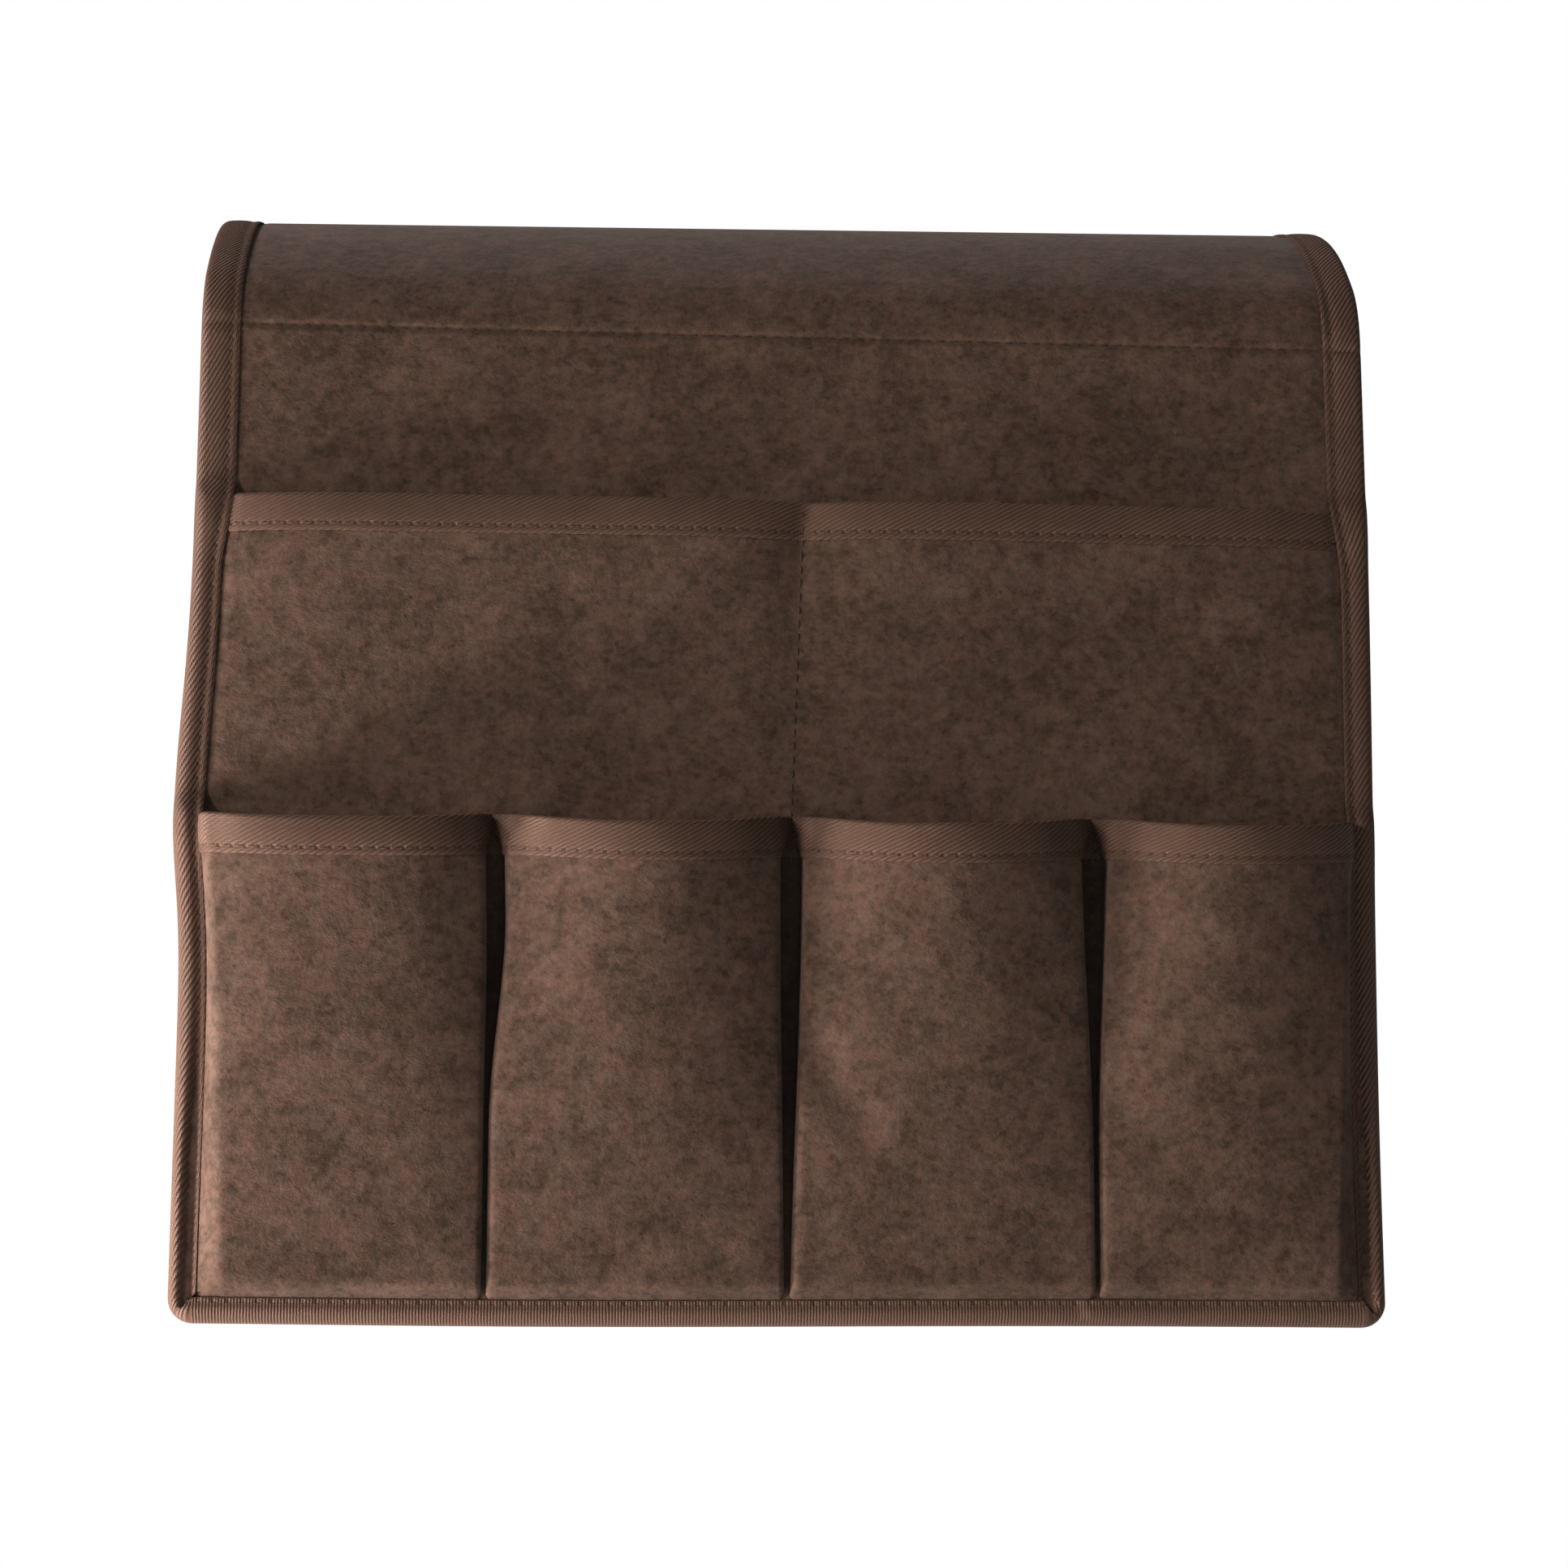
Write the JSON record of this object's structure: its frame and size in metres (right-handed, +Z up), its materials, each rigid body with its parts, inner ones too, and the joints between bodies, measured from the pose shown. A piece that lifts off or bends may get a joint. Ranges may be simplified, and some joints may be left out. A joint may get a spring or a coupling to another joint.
{
  "type": "sofa armrest organizer",
  "caption": "Felt organizer that hangs over a sofa armrest, with flat pockets above pleated pockets and a taped edge.",
  "frame": {"origin": "middle of the lining's underside, where it lies on top of the armrest", "axes": "+X to the right as seen from the pockets, +Y to the back, +Z up"},
  "size_m": [0.34, 0.3424, 0.3347],
  "materials": {
    "felt": "matte pressed felt",
    "binding_tape": "twill tape",
    "grip_lining": "knit with raised grip dots",
    "thread": "sewing thread"
  },
  "bodies": {
    "top": {"top_panel": "felt", "grip_lining": "grip_lining", "top_binding_left": "binding_tape", "top_binding_right": "binding_tape", "top_edge_thread_left": "thread", "top_edge_thread_right": "thread", "front_seam_thread": "thread", "rear_seam_thread": "thread"},
    "front_flap": {"front_panel": "felt", "upper_pocket_panel": "felt", "upper_pocket_binding": "binding_tape", "lower_pocket_panel": "felt", "lower_pocket_binding": "binding_tape", "front_edge_binding": "binding_tape", "front_edge_thread": "thread", "upper_mouth_thread": "thread", "lower_mouth_thread": "thread", "center_seam_thread": "thread", "pleat_seam_thread_left": "thread", "pleat_seam_thread_center": "thread", "pleat_seam_thread_right": "thread"},
    "rear_flap": {"rear_panel": "felt", "rear_edge_binding": "binding_tape", "rear_edge_thread": "thread"}
  },
  "joints": [
    {"name": "front_fold", "type": "hinge", "parent": "top", "child": "front_flap", "pos_m": [0, -0.11956, -0.04351], "axis": [-1, 0, 0], "range_deg": [0, 80]},
    {"name": "rear_fold", "type": "hinge", "parent": "top", "child": "rear_flap", "pos_m": [0, 0.11956, -0.04351], "axis": [1, 0, 0], "range_deg": [0, 80]}
  ]
}
